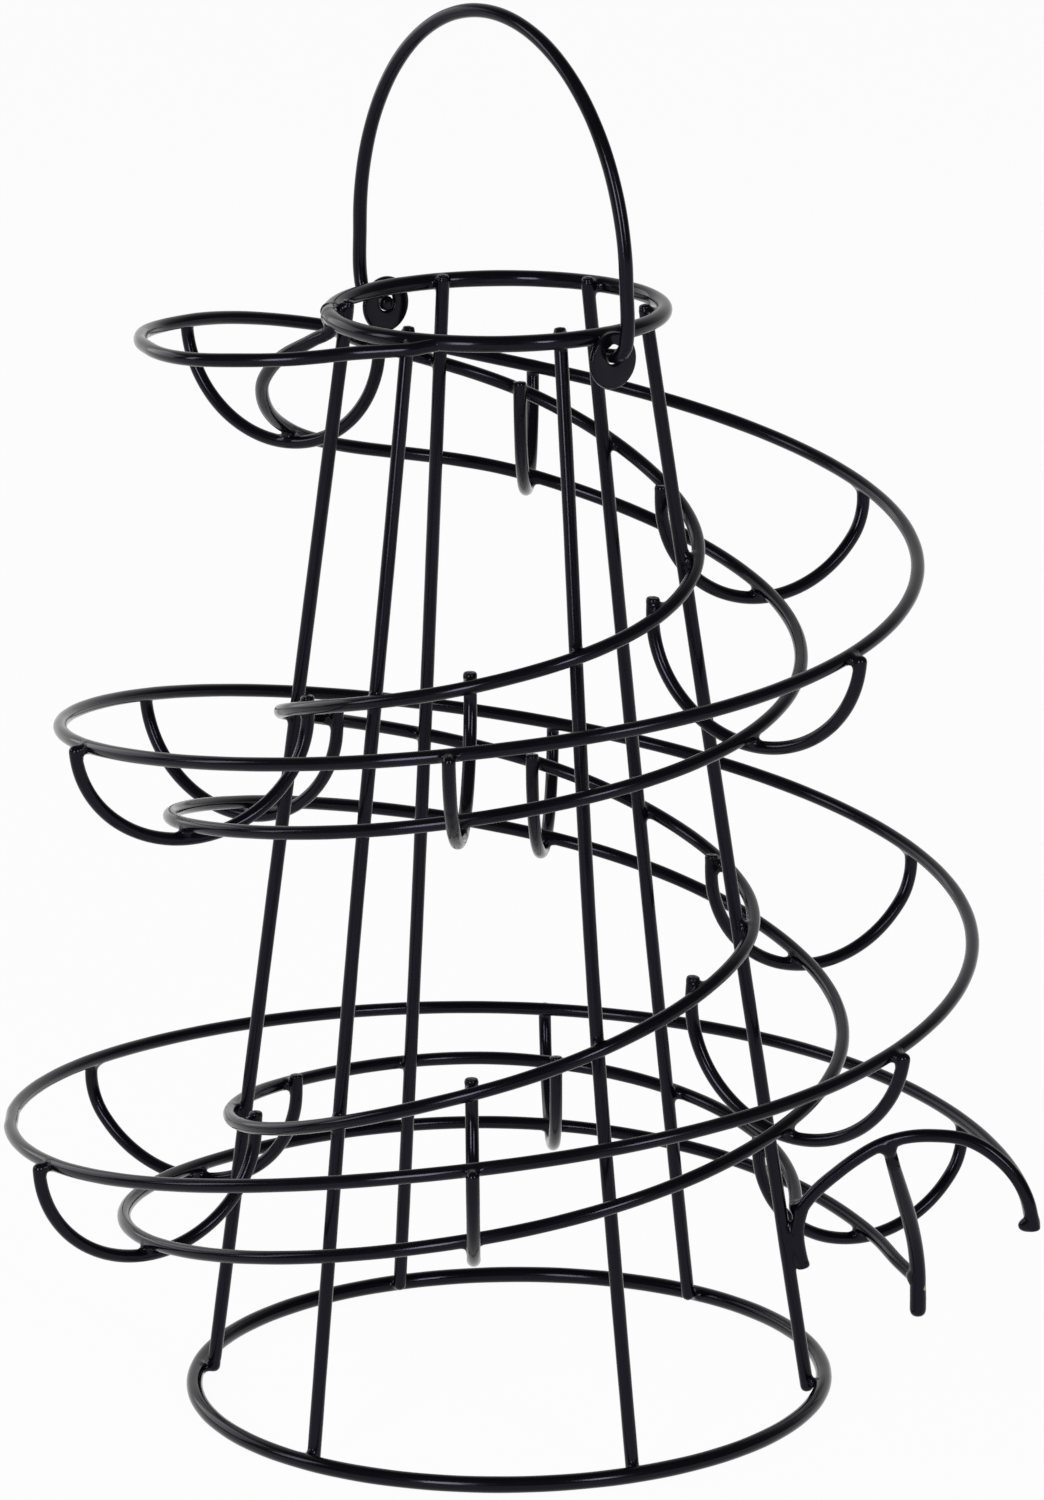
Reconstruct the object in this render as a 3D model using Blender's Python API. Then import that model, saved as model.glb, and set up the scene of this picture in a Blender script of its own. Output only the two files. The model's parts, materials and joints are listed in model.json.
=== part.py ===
"""Spiral egg basket of black coated wire.

Six uprights stand on a wide base ring and lean in to a small top ring. A track of three rails
winds down round them, carried by U-shaped ribs, from a loading loop at the top ring to an end
gate near the table. A bail handle swings in two round lugs on the top ring.

Metres, +Z up. An angle round the tower is in degrees, clockwise as seen from above, and starts
at the left (-X), so 90 is the back and 270 is the front. It goes on past 360 down the track.
The model is centred over its own footprint, and stands on the plane of zero height.
"""

import math

import bpy
import numpy as np

# Wires
RING_WIRE = 0.0041
UPRIGHT_WIRE = 0.0034
RAIL_WIRE = 0.0034
RIB_WIRE = 0.0033
ARCH_WIRE = 0.0034
BAR_WIRE = 0.0040
HANDLE_WIRE = 0.0035
WELD_GAP = 0.0003

# Tower: ring sizes are between the centres of the wire
BASE_RING_DIAMETER = 0.160
TOP_RING_DIAMETER = 0.0820
TOP_RING_HEIGHT = 0.2780
UPRIGHT_ANGLE = 9.5
UPRIGHT_TWIST = 1.6
UPRIGHT_TIP = 0.0003

# One row for each upright: how far it stands from its even place at the foot, half way up and
# at the tip, of the spacing between two uprights.
UPRIGHT_SHARES = (
    (-0.040, -0.040, -0.030),
    (-0.005, 0.020, 0.035),
    (0.005, 0.010, 0.025),
    (-0.020, 0.020, 0.050),
    (-0.025, 0.020, -0.015),
    (0.025, 0.035, -0.015),
)

# Track: widths are between the centres of the rails, heights are at the inner rail
RIB_SPACING = 60.0
RIB_ANGLE = 37.5
FIRST_RIB_BELOW_RING = 0.0121
LAST_RIB_HEIGHT = 0.0550
TRACK_WIDTH = 0.0540
RIB_DEPTH = 0.0287
RIB_INNER_TIP = 0.0030
RIB_OUTER_TIP = 0.0006

# One row for each rib, top to bottom, and one for the end gate. Down the fall of the track;
# width of the track; how far the outer rail hangs below the inner one, of the rib's depth;
# where the floor rail crosses, from the inner leg; how far round the outer and inner legs
# stand from their even places, of the rib spacing; depth of the rib.
TRACK_SHARES = (
    (0.000, 0.965, 0.02, 0.475, 0.010, 0.080, 0.99),
    (0.080, 0.945, 0.18, 0.495, -0.015, 0.025, 0.99),
    (0.187, 0.995, 0.12, 0.475, -0.050, -0.005, 0.98),
    (0.268, 1.005, 0.13, 0.510, 0.020, 0.020, 0.98),
    (0.330, 1.020, 0.10, 0.490, 0.005, 0.045, 1.00),
    (0.391, 1.020, 0.12, 0.555, 0.010, 0.075, 0.97),
    (0.470, 1.000, 0.04, 0.440, 0.005, 0.030, 1.00),
    (0.556, 0.965, 0.12, 0.505, 0.010, 0.030, 1.00),
    (0.649, 1.025, 0.15, 0.415, -0.065, -0.015, 1.01),
    (0.708, 0.985, 0.30, 0.515, 0.010, 0.060, 1.04),
    (0.797, 0.980, 0.11, 0.525, -0.040, 0.025, 1.07),
    (0.892, 0.995, 0.06, 0.515, -0.015, 0.105, 0.99),
    (0.940, 1.070, 0.07, 0.475, -0.045, 0.000, 1.01),
    (0.957, 1.055, 0.11, 0.520, -0.025, 0.085, 0.99),
    (1.000, 1.020, 0.04, 0.480, 0.000, 0.060, 1.00),
    (1.031, 1.100, 0.06, 0.545, 0.000, 0.000, 1.01),
)

# Loading loop: before the first rib the outer rail comes from the front of the top ring and
# round the left. Angle, share of its reach at the first rib, share of its rise to the ring.
LOOP_SHARES = (
    (-45.0, 0.550, 0.89),
    (-35.5, 0.660, 0.78),
    (-27.0, 0.760, 0.71),
    (-21.0, 0.825, 0.65),
    (-12.5, 0.875, 0.57),
    (-2.5, 0.905, 0.48),
    (13.0, 0.955, 0.29),
    (27.5, 1.005, 0.09),
)
LOOP_START_ANGLE = -61.0
LOOP_START_DIP = 20.0

# Back stop: before the first rib the floor rail curls down from the left of the top ring.
# Angle, share of its reach from the ring to the first rib, share of its rise to the ring.
STOP_SHARES = (
    (3.5, 0.25, 0.87),
    (7.0, 0.415, 0.79),
    (13.0, 0.615, 0.64),
    (18.0, 0.75, 0.50),
    (27.5, 0.89, 0.24),
)
STOP_START_ANGLE = -2.5
INNER_RAIL_START_ANGLE = 8.0

# End gate: an arch over the track at an upright, which is counted from the first one on down
# the track, and a bar from the arch to the floor rail.
# The arch's shape: share of the way out from the upright, share of the rise.
GATE_UPRIGHT = 15
ARCH_SHARES = (
    (0.00, 0.00),
    (0.02, 0.21),
    (0.07, 0.37),
    (0.16, 0.57),
    (0.25, 0.74),
    (0.36, 0.90),
    (0.47, 0.98),
    (0.59, 1.00),
    (0.71, 0.97),
    (0.84, 0.80),
    (0.93, 0.57),
    (0.98, 0.31),
    (1.00, 0.05),
)
ARCH_RISE = 0.0254
ARCH_BELOW_RAIL = 0.0029
ARCH_SET_OUT = 0.0007
ARCH_LEG = 0.0105
BAR_TOP_SHARE = 0.39
BAR_TOP_GAP = 0.0006
BAR_LEAN_ANGLE = 11.0
BAR_FOOT_SET_OUT = 0.0022
BAR_FOOT = 0.0105

# Handle and its two lugs
LUG_ANGLE = 232.3
LUG_DIAMETER = 0.0140
LUG_HOLE = 0.0050
LUG_HOLE_ABOVE = 0.0016
LUG_THICKNESS = 0.0016
LUG_BELOW_RING = 0.0057
HOOK_CLEARANCE = 0.0003
HOOK_REACH = 0.0065
HOOK_BEND = 0.0050
HOOK_STICK_OUT = 0.0028
HANDLE_SET_BACK = 0.0023
HANDLE_LEG = 0.0174
HANDLE_ARCH = 0.0608

# Fineness of the model
RING_STEPS = 72
RING_SIDES = 10
WIRE_ROUNDING_STEPS = 2
UPRIGHT_STEPS = 6
STEPS_PER_RIB = 8
LEAD_STEPS = 2
BAR_STEPS = 5
RIB_STEPS = 14
ARCH_STEPS = 2
HANDLE_STEPS = 28
BEND_STEPS = 4
LUG_STEPS = 28
HOLE_STEPS = 16

COAT_COLOUR = (0.011, 0.011, 0.014, 1.0)
COAT_ROUGHNESS = 0.34
COAT_METALLIC = 0.0

BASE_RADIUS = BASE_RING_DIAMETER / 2
TOP_RADIUS = TOP_RING_DIAMETER / 2
BASE_RING_HEIGHT = RING_WIRE / 2 * math.cos(math.pi / RING_SIDES)
UPRIGHT_COUNT = len(UPRIGHT_SHARES)
UPRIGHT_SPACING = 360.0 / UPRIGHT_COUNT
RIB_COUNT = len(TRACK_SHARES) - 1


def touching(first_wire, second_wire):
    """Distance between the centres of two wires that are welded side by side."""
    return (first_wire + second_wire) / 2 + WELD_GAP


def place(angle, radius, height):
    """Point at an angle round the tower's axis."""
    turn = math.radians(angle)
    return np.array((-radius * math.cos(turn), radius * math.sin(turn), height))


def smooth(values, at, where):
    """Smooth curve through values given at rising places, read at one place."""
    at = np.asarray(at, dtype=float)
    values = np.asarray(values, dtype=float)
    slopes = np.diff(values) / np.diff(at)
    spans = np.diff(at)
    inner = (slopes[:-1] * spans[1:] + slopes[1:] * spans[:-1]) / (spans[:-1] + spans[1:])
    tangents = np.concatenate(((slopes[0],), inner, (slopes[-1],)))
    piece = min(max(int(np.searchsorted(at, where)) - 1, 0), len(spans) - 1)
    span = spans[piece]
    part = (where - at[piece]) / span
    start = values[piece] * (1 + 2 * part) * (1 - part) ** 2
    end = values[piece + 1] * part ** 2 * (3 - 2 * part)
    lean_in = tangents[piece] * span * part * (1 - part) ** 2
    lean_out = tangents[piece + 1] * span * part ** 2 * (part - 1)
    return float(start + end + lean_in + lean_out)


def smooth_points(points, steps):
    """Smooth path through points, with a number of steps between each two."""
    points = np.array(points)
    along = np.concatenate(((0.0,), np.cumsum(np.linalg.norm(np.diff(points, axis=0), axis=1))))
    path = []
    for first, last in zip(along[:-1], along[1:]):
        for step in range(steps):
            where = first + (last - first) * step / steps
            path.append([smooth(points[:, axis], along, where) for axis in range(3)])
    path.append(points[-1])
    return np.array(path)


# Tower


CONE_SLOPE = (BASE_RADIUS - TOP_RADIUS) / (TOP_RING_HEIGHT - BASE_RING_HEIGHT)
CONE_STRETCH = math.hypot(1, CONE_SLOPE)


def upright_radius(height):
    """Distance of the uprights' centres from the axis. They stand inside both rings."""
    base = BASE_RADIUS - touching(RING_WIRE, UPRIGHT_WIRE) * CONE_STRETCH
    return base - CONE_SLOPE * (height - BASE_RING_HEIGHT)


def upright_angle(number, height):
    """Angle of an upright, which turns a little on the way up. It may be counted past the last."""
    rise = height / TOP_RING_HEIGHT
    turn = smooth(UPRIGHT_SHARES[number % UPRIGHT_COUNT], (0.0, 0.5, 1.0), rise)
    return UPRIGHT_ANGLE + UPRIGHT_SPACING * (number + turn) - UPRIGHT_TWIST * rise


def upright_path(number):
    """From inside the base ring to inside the top one."""
    foot = UPRIGHT_WIRE / 2
    tip = TOP_RING_HEIGHT + RING_WIRE / 2 + UPRIGHT_TIP
    heights = np.linspace(foot, tip, UPRIGHT_STEPS + 1)
    return [place(upright_angle(number, h), upright_radius(h), h) for h in heights]


# Track


GATE_ANGLE = upright_angle(GATE_UPRIGHT, LAST_RIB_HEIGHT)
RIB_ANGLES = [RIB_ANGLE + RIB_SPACING * number for number in range(RIB_COUNT)]
STATION_ANGLES = RIB_ANGLES + [GATE_ANGLE]
FIRST_RIB_HEIGHT = TOP_RING_HEIGHT - FIRST_RIB_BELOW_RING
TRACK_FALL = FIRST_RIB_HEIGHT - LAST_RIB_HEIGHT
UNDER_RING_HEIGHT = TOP_RING_HEIGHT - touching(RING_WIRE, RAIL_WIRE)


def along(stations, column, angle):
    """Smooth curve through one column of a rail's stations, whose first column is the angle."""
    return smooth([row[column] for row in stations], [row[0] for row in stations], angle)


def inner_height(angle):
    """Height of the inner rail. Its top end is tucked under the top ring."""
    heights = [FIRST_RIB_HEIGHT - TRACK_FALL * row[0] for row in TRACK_SHARES]
    angles = [INNER_RAIL_START_ANGLE] + STATION_ANGLES
    return smooth([UNDER_RING_HEIGHT] + heights, angles, angle)


def inner_radius(angle):
    """The inner rail hugs the uprights."""
    offset = touching(RAIL_WIRE, UPRIGHT_WIRE) * CONE_STRETCH
    return upright_radius(inner_height(angle)) + offset


def outer_station(number):
    """Angle, radius and height of the outer rail where a rib carries it."""
    angle = STATION_ANGLES[number]
    radius = inner_radius(angle) + TRACK_WIDTH * TRACK_SHARES[number][1]
    return angle, radius, inner_height(angle) - RIB_DEPTH * TRACK_SHARES[number][2]


def loop_stations():
    """The loading loop starts beside the top ring, a little below the ring's middle."""
    beside = touching(RING_WIRE, RAIL_WIRE)
    dip = math.radians(LOOP_START_DIP)
    top = TOP_RING_HEIGHT - beside * math.sin(dip)
    reach, low = outer_station(0)[1:]
    stations = [(LOOP_START_ANGLE, TOP_RADIUS + beside * math.cos(dip), top)]
    for angle, reach_share, rise_share in LOOP_SHARES:
        stations.append((angle, reach * reach_share, low + (top - low) * rise_share))
    return stations


OUTER_STATIONS = loop_stations() + [outer_station(number) for number in range(RIB_COUNT + 1)]


def outer_radius(angle):
    return along(OUTER_STATIONS, 1, angle)


def outer_height(angle):
    return along(OUTER_STATIONS, 2, angle)


def rib_legs(number):
    """Where a rib's legs stand beside the rails: outside the outer one, inside the inner one."""
    row = TRACK_SHARES[number]
    outer_angle = STATION_ANGLES[number] + RIB_SPACING * row[4]
    inner_angle = STATION_ANGLES[number] + RIB_SPACING * row[5]
    beside = touching(RAIL_WIRE, RIB_WIRE)
    outer = place(outer_angle, outer_radius(outer_angle) + beside, outer_height(outer_angle))
    inner = place(inner_angle, inner_radius(inner_angle) - beside, inner_height(inner_angle))
    return outer, inner


def rib_frame(number):
    """Middle of the U's chord, half the chord, the way down from it, and the rib's depth."""
    outer, inner = rib_legs(number)
    half = (outer - inner) / 2
    level = half[2] / np.dot(half, half)
    down = half * level - np.array((0.0, 0.0, 1.0))
    depth = RIB_DEPTH * TRACK_SHARES[number][6]
    return (outer + inner) / 2, half, down / np.linalg.norm(down), depth


def rib_point(number, across):
    """Point of a rib's U: across is -1 at the inner leg, 1 at the outer one."""
    middle, half, down, depth = rib_frame(number)
    return middle + half * across + down * depth * math.sqrt(max(0.0, 1 - across ** 2))


def floor_station(number):
    """Angle, radius and height of the floor rail where it lies on a rib."""
    across = 2 * TRACK_SHARES[number][3] - 1
    middle, half, down, depth = rib_frame(number)
    reach = np.linalg.norm(half)
    climb = depth * across / math.sqrt(1 - across ** 2)
    inward = -(half / reach * climb + down * reach) / math.hypot(climb, reach)
    left, back, height = rib_point(number, across) + inward * touching(RAIL_WIRE, RIB_WIRE)
    angle = math.degrees(math.atan2(back, -left))
    turns = round((STATION_ANGLES[number] - angle) / 360.0)
    return angle + turns * 360.0, math.hypot(left, back), height


def stop_stations():
    """The back stop starts at the top ring and comes down to the first rib."""
    reach, low = floor_station(0)[1:]
    stations = [(STOP_START_ANGLE, TOP_RADIUS, UNDER_RING_HEIGHT)]
    for angle, reach_share, rise_share in STOP_SHARES:
        radius = TOP_RADIUS + (reach - TOP_RADIUS) * reach_share
        stations.append((angle, radius, low + (UNDER_RING_HEIGHT - low) * rise_share))
    return stations


FLOOR_STATIONS = stop_stations() + [floor_station(number) for number in range(RIB_COUNT + 1)]


def floor_radius(angle):
    return along(FLOOR_STATIONS, 1, angle)


def floor_height(angle):
    return along(FLOOR_STATIONS, 2, angle)


def track_angles(start, end):
    """Angles of a rail's points: its ends, and even steps with one at every rib."""
    step = RIB_SPACING / STEPS_PER_RIB
    first = math.floor((start - RIB_ANGLE) / step) + 1
    last = math.ceil((end - RIB_ANGLE) / step) - 1
    inside = [RIB_ANGLE + step * number for number in range(first, last + 1)]
    inside = [angle for angle in inside if start + step / 4 < angle < end - step / 4]
    return [start] + inside + [end]


def arc_angle(length, radius):
    return math.degrees(length / radius)


def lead_angles(stations, start):
    """Angles of a rail's points before the first rib: its stations and between them."""
    angles = [row[0] for row in stations if row[0] < start] + [start]
    steps = np.arange(LEAD_STEPS) / LEAD_STEPS
    return [a + (b - a) * step for a, b in zip(angles[:-1], angles[1:]) for step in steps]


def inner_rail_path():
    end = GATE_ANGLE - arc_angle(ARCH_WIRE / 2 + WELD_GAP, inner_radius(GATE_ANGLE))
    angles = track_angles(INNER_RAIL_START_ANGLE, end)
    return [place(angle, inner_radius(angle), inner_height(angle)) for angle in angles]


def outer_rail_path():
    """Its lower end butts against the arch's outer leg."""
    end = GATE_ANGLE - arc_angle(ARCH_WIRE / 2 + WELD_GAP, outer_radius(GATE_ANGLE))
    lead = lead_angles(OUTER_STATIONS, RIB_ANGLES[0])
    angles = lead + track_angles(RIB_ANGLES[0], end)
    return [place(angle, outer_radius(angle), outer_height(angle)) for angle in angles]


def floor_rail_end():
    """Angle of the floor rail's end, which butts against the gate's bar."""
    bar_angle = GATE_ANGLE - BAR_LEAN_ANGLE
    return bar_angle - arc_angle(BAR_WIRE / 2 + WELD_GAP, floor_radius(bar_angle))


def floor_rail_path():
    start = floor_station(0)[0]
    lead = lead_angles(FLOOR_STATIONS, start)
    angles = lead + track_angles(start, floor_rail_end())
    return [place(angle, floor_radius(angle), floor_height(angle)) for angle in angles]


def rib_path(number):
    """A U under the track, with both tips a little above the middle of the rails."""
    down = rib_frame(number)[2]
    path = [rib_point(number, 1) - down * RIB_OUTER_TIP]
    for step in range(RIB_STEPS + 1):
        path.append(rib_point(number, math.cos(math.pi * step / RIB_STEPS)))
    path.append(rib_point(number, -1) - down * RIB_INNER_TIP)
    return path


# End gate


def gate_spring():
    """Height where the arch leaves the leg that runs down the upright."""
    return outer_height(GATE_ANGLE) - ARCH_BELOW_RAIL


def gate_inner_radius(height):
    """The inner leg runs down the outside of the last upright."""
    return upright_radius(height) + touching(UPRIGHT_WIRE, ARCH_WIRE) * CONE_STRETCH


def gate_point(out_share, rise_share):
    """Point of the arch, by its shares of the way out and of the rise."""
    near = gate_inner_radius(gate_spring())
    far = outer_radius(GATE_ANGLE) + ARCH_SET_OUT
    height = gate_spring() + ARCH_RISE * rise_share
    return place(GATE_ANGLE, near + (far - near) * out_share, height)


def arch_path():
    foot = gate_spring() - ARCH_LEG
    leg = [place(GATE_ANGLE, gate_inner_radius(foot), foot)]
    arch = [gate_point(*row) for row in ARCH_SHARES]
    return leg + list(smooth_points(arch, ARCH_STEPS))


def bar_path():
    """From under the arch it leans back to the end of the floor rail and on below it."""
    out_shares, rise_shares = zip(*ARCH_SHARES)
    top = gate_point(BAR_TOP_SHARE, smooth(rise_shares, out_shares, BAR_TOP_SHARE))
    top[2] -= ARCH_WIRE / 2 + WELD_GAP + BAR_TOP_GAP
    bar_angle = GATE_ANGLE - BAR_LEAN_ANGLE
    foot_radius = floor_radius(bar_angle) + BAR_FOOT_SET_OUT
    foot_height = floor_height(floor_rail_end())
    points = [
        top,
        place(bar_angle, foot_radius, foot_height),
        place(bar_angle, foot_radius, foot_height - BAR_FOOT),
    ]
    return smooth_points(points, BAR_STEPS)


# Handle: distances are along its axis, which runs through both lugs, and up from it


HOOK_DROP = (LUG_HOLE - HANDLE_WIRE) / 2 - HOOK_CLEARANCE
AXIS_HEIGHT = TOP_RING_HEIGHT - LUG_BELOW_RING + LUG_HOLE_ABOVE - HOOK_DROP
LUG_RADIUS = TOP_RADIUS + RING_WIRE / 2 + WELD_GAP + LUG_THICKNESS / 2
LUG_INNER_FACE = LUG_RADIUS - LUG_THICKNESS / 2
LUG_OUTER_FACE = LUG_RADIUS + LUG_THICKNESS / 2
HANDLE_HALF_WIDTH = LUG_OUTER_FACE + WELD_GAP + HOOK_REACH


def handle_outline():
    """Half of the handle from a hook's end to the top: along the axis, and up from it."""
    bend_start = HANDLE_HALF_WIDTH - HOOK_BEND
    outline = [(LUG_INNER_FACE - HOOK_STICK_OUT, 0.0), (bend_start, 0.0)]
    for step in range(1, BEND_STEPS + 1):
        turn = math.pi / 2 * step / BEND_STEPS
        outline.append((bend_start + HOOK_BEND * math.sin(turn), HOOK_BEND * (1 - math.cos(turn))))
    for step in range(HANDLE_STEPS // 2 + 1):
        turn = math.pi * step / HANDLE_STEPS
        rise = HANDLE_LEG + HANDLE_ARCH * math.sin(turn)
        outline.append((HANDLE_HALF_WIDTH * math.cos(turn), rise))
    return outline


def handle_path():
    half = handle_outline()
    other = [(-along, up) for along, up in reversed(half[:-1])]
    return [(along - HANDLE_SET_BACK, 0.0, up) for along, up in half + other]


# Objects


def clear_scene():
    for item in list(bpy.data.objects):
        bpy.data.objects.remove(item, do_unlink=True)


def powder_coat(name):
    """Black powder coat on steel wire."""
    material = bpy.data.materials.new(name)
    material.use_nodes = True
    shader = material.node_tree.nodes["Principled BSDF"]
    shader.inputs["Base Color"].default_value = COAT_COLOUR
    shader.inputs["Roughness"].default_value = COAT_ROUGHNESS
    shader.inputs["Metallic"].default_value = COAT_METALLIC
    material.diffuse_color = COAT_COLOUR
    return material


def new_collection(name):
    collection = bpy.data.collections.new(name)
    bpy.context.scene.collection.children.link(collection)
    return collection


def new_empty(collection, name, location, parent=None):
    empty = bpy.data.objects.new(name, None)
    empty.location = location
    empty.parent = parent
    collection.objects.link(empty)
    return empty


def finish(collection, item, parent):
    item.data.materials.append(powder_coat(item.name + "_coat"))
    item.parent = parent
    collection.objects.link(item)
    return item


def add_wire(collection, name, path, diameter, parent):
    """A wire along a path of points, with closed ends."""
    curve = bpy.data.curves.new(name, "CURVE")
    curve.dimensions = "3D"
    curve.bevel_depth = diameter / 2
    curve.bevel_resolution = WIRE_ROUNDING_STEPS
    curve.use_fill_caps = True
    spline = curve.splines.new("POLY")
    spline.points.add(len(path) - 1)
    for point, position in zip(spline.points, path):
        point.co = (*position, 1.0)
        point.radius = 1.0
    spline.use_smooth = True
    return finish(collection, bpy.data.objects.new(name, curve), parent)


def add_ring(collection, name, radius, height, parent):
    """A ring of wire. Its sides are turned so that a flat one lies underneath."""
    bpy.ops.mesh.primitive_torus_add(
        major_radius=radius,
        minor_radius=RING_WIRE / 2,
        major_segments=RING_STEPS,
        minor_segments=RING_SIDES,
        location=(0.0, 0.0, height),
    )
    ring = bpy.context.object
    for owner in list(ring.users_collection):
        owner.objects.unlink(ring)
    ring.name = name
    ring.data.name = name
    ring.data.shade_smooth()
    return finish(collection, ring, parent)


def add_circle(curve, diameter, steps, across=0.0):
    spline = curve.splines.new("POLY")
    spline.points.add(steps - 1)
    for number, point in enumerate(spline.points):
        turn = 2 * math.pi * number / steps
        x = across + diameter / 2 * math.cos(turn)
        point.co = (x, diameter / 2 * math.sin(turn), 0.0, 1.0)
    spline.use_cyclic_u = True


def add_lug(collection, name, side, axis):
    """A round plate, square to the handle's axis. The hook lies low in a hole above its middle."""
    curve = bpy.data.curves.new(name, "CURVE")
    curve.dimensions = "2D"
    curve.fill_mode = "BOTH"
    curve.extrude = LUG_THICKNESS / 2
    add_circle(curve, LUG_DIAMETER, LUG_STEPS)
    add_circle(curve, LUG_HOLE, HOLE_STEPS, -LUG_HOLE_ABOVE)
    lug = finish(collection, bpy.data.objects.new(name, curve), axis)
    lug.location = (side * LUG_RADIUS, 0.0, HOOK_DROP - LUG_HOLE_ABOVE)
    lug.rotation_euler = (0.0, math.pi / 2, 0.0)
    return lug


def footprint_centre(paths):
    """Middle of the box round a number of paths, seen from above."""
    points = np.concatenate([np.array(path) for path in paths])
    middle = (points.min(axis=0) + points.max(axis=0)) / 2
    return middle[0], middle[1]


def build():
    clear_scene()
    collection = new_collection("spiral_egg_basket")
    ribs = {number + 1: rib_path(number) for number in range(RIB_COUNT)}
    rails = {"outer": outer_rail_path(), "inner": inner_rail_path(), "floor": floor_rail_path()}
    across, deep = footprint_centre(list(ribs.values()) + [rails["outer"]])
    tower = new_empty(collection, "tower_axis", (-across, -deep, 0.0))

    add_ring(collection, "base_ring", BASE_RADIUS, BASE_RING_HEIGHT, tower)
    add_ring(collection, "top_ring", TOP_RADIUS, TOP_RING_HEIGHT, tower)
    for number in range(UPRIGHT_COUNT):
        name = f"upright_{number + 1}"
        add_wire(collection, name, upright_path(number), UPRIGHT_WIRE, tower)
    for name, path in rails.items():
        add_wire(collection, f"{name}_rail", path, RAIL_WIRE, tower)
    for number, path in ribs.items():
        add_wire(collection, f"rib_{number:02d}", path, RIB_WIRE, tower)
    add_wire(collection, "end_arch", arch_path(), ARCH_WIRE, tower)
    add_wire(collection, "end_bar", bar_path(), BAR_WIRE, tower)

    axis = new_empty(collection, "handle_axis", (0.0, 0.0, AXIS_HEIGHT), tower)
    axis.rotation_euler = (0.0, 0.0, math.pi - math.radians(LUG_ANGLE))
    add_lug(collection, "lug_front", 1, axis)
    add_lug(collection, "lug_back", -1, axis)
    add_wire(collection, "handle", handle_path(), HANDLE_WIRE, axis)


build()
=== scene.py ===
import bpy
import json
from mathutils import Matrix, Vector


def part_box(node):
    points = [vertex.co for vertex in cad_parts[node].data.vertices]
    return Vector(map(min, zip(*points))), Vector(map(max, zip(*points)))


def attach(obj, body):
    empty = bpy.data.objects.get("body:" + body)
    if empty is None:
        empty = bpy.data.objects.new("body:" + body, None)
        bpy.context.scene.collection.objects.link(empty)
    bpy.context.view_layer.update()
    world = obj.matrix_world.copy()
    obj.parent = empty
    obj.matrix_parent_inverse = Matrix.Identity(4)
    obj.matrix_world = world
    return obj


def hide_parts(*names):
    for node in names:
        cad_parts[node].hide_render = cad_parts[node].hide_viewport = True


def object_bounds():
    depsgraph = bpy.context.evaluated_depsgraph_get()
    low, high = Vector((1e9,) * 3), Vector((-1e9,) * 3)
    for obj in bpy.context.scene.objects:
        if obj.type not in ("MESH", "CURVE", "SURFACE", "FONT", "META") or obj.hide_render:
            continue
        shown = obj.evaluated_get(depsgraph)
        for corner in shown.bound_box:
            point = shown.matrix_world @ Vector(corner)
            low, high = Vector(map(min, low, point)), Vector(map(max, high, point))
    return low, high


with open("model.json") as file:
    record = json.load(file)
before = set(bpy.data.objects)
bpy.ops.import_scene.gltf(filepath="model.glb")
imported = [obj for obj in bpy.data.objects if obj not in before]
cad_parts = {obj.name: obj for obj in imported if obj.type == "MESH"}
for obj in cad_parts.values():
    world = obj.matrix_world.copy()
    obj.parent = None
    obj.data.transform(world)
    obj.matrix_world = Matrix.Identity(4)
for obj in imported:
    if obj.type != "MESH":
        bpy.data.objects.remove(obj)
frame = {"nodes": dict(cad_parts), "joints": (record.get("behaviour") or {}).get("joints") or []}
CAD_BOX = [list(corner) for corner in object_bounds()]

import json
import math
from collections import namedtuple

import bmesh
import bpy
import numpy as np
from mathutils import Matrix, Vector

# The looks of a spiral egg basket of black coated wire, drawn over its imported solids.
# Metres, +Z up. Each wire's line is read off its solid, and a finer wire is drawn along it.
# Shares are of the thickness of the wire that they are used on, unless they say otherwise.

bl_info = {
    "name": "Spiral egg basket",
    "version": (1, 0, 0),
    "blender": (4, 5, 0),
    "location": "View3D > Sidebar > Egg basket",
    "description": "Draws the coated wires, welds, lugs and handle of a spiral egg basket",
    "category": "Object",
}

BODY_TOWER = "tower"
BODY_HANDLE = "handle"
UP = np.array((0.0, 0.0, 1.0))
SIDEWAYS = np.array((1.0, 0.0, 0.0))

# What a place or a way is multiplied by to lose its height.
LEVEL = np.array((1.0, 1.0, 0.0))


def box_middle(node):
    low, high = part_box(node)
    return np.array((low + high) / 2)


def unit(way):
    return way / np.linalg.norm(way)


HINGE_AXIS = unit(np.array(frame["joints"][0]["axis"]))
TOWER_MIDDLE = box_middle("base_ring") * LEVEL
UPRIGHTS = sorted(name for name in frame["nodes"] if name.startswith("upright_"))
RIBS = sorted(name for name in frame["nodes"] if name.startswith("rib_"))
RINGS = ["base_ring", "top_ring"]
RAILS = ["outer_rail", "inner_rail", "floor_rail"]
LUGS = ("lug_front", "lug_back")

# Uprights whose feet end higher than the others, and the setting for each.
FEET = {"upright_1": "left_foot", "upright_2": "back_feet", "upright_3": "back_feet"}

# Ribs on the far side of the track, whose outer tips stay hidden under the rail.
FAR_RIBS = ("rib_03", "rib_09", "rib_13", "rib_15")


# Settings


def length(name, text, default):
    return bpy.props.FloatProperty(
        name=name, description=text, default=default, min=0.0, subtype="DISTANCE", unit="LENGTH"
    )


def share(name, text, default):
    return bpy.props.FloatProperty(
        name=name, description=text, default=default, min=0.0, subtype="FACTOR"
    )


def number(name, text, default):
    return bpy.props.IntProperty(name=name, description=text, default=default, min=1)


def colour(name, text, default):
    return bpy.props.FloatVectorProperty(
        name=name, description=text, default=default, size=3, min=0.0, max=1.0, subtype="COLOR"
    )


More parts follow.
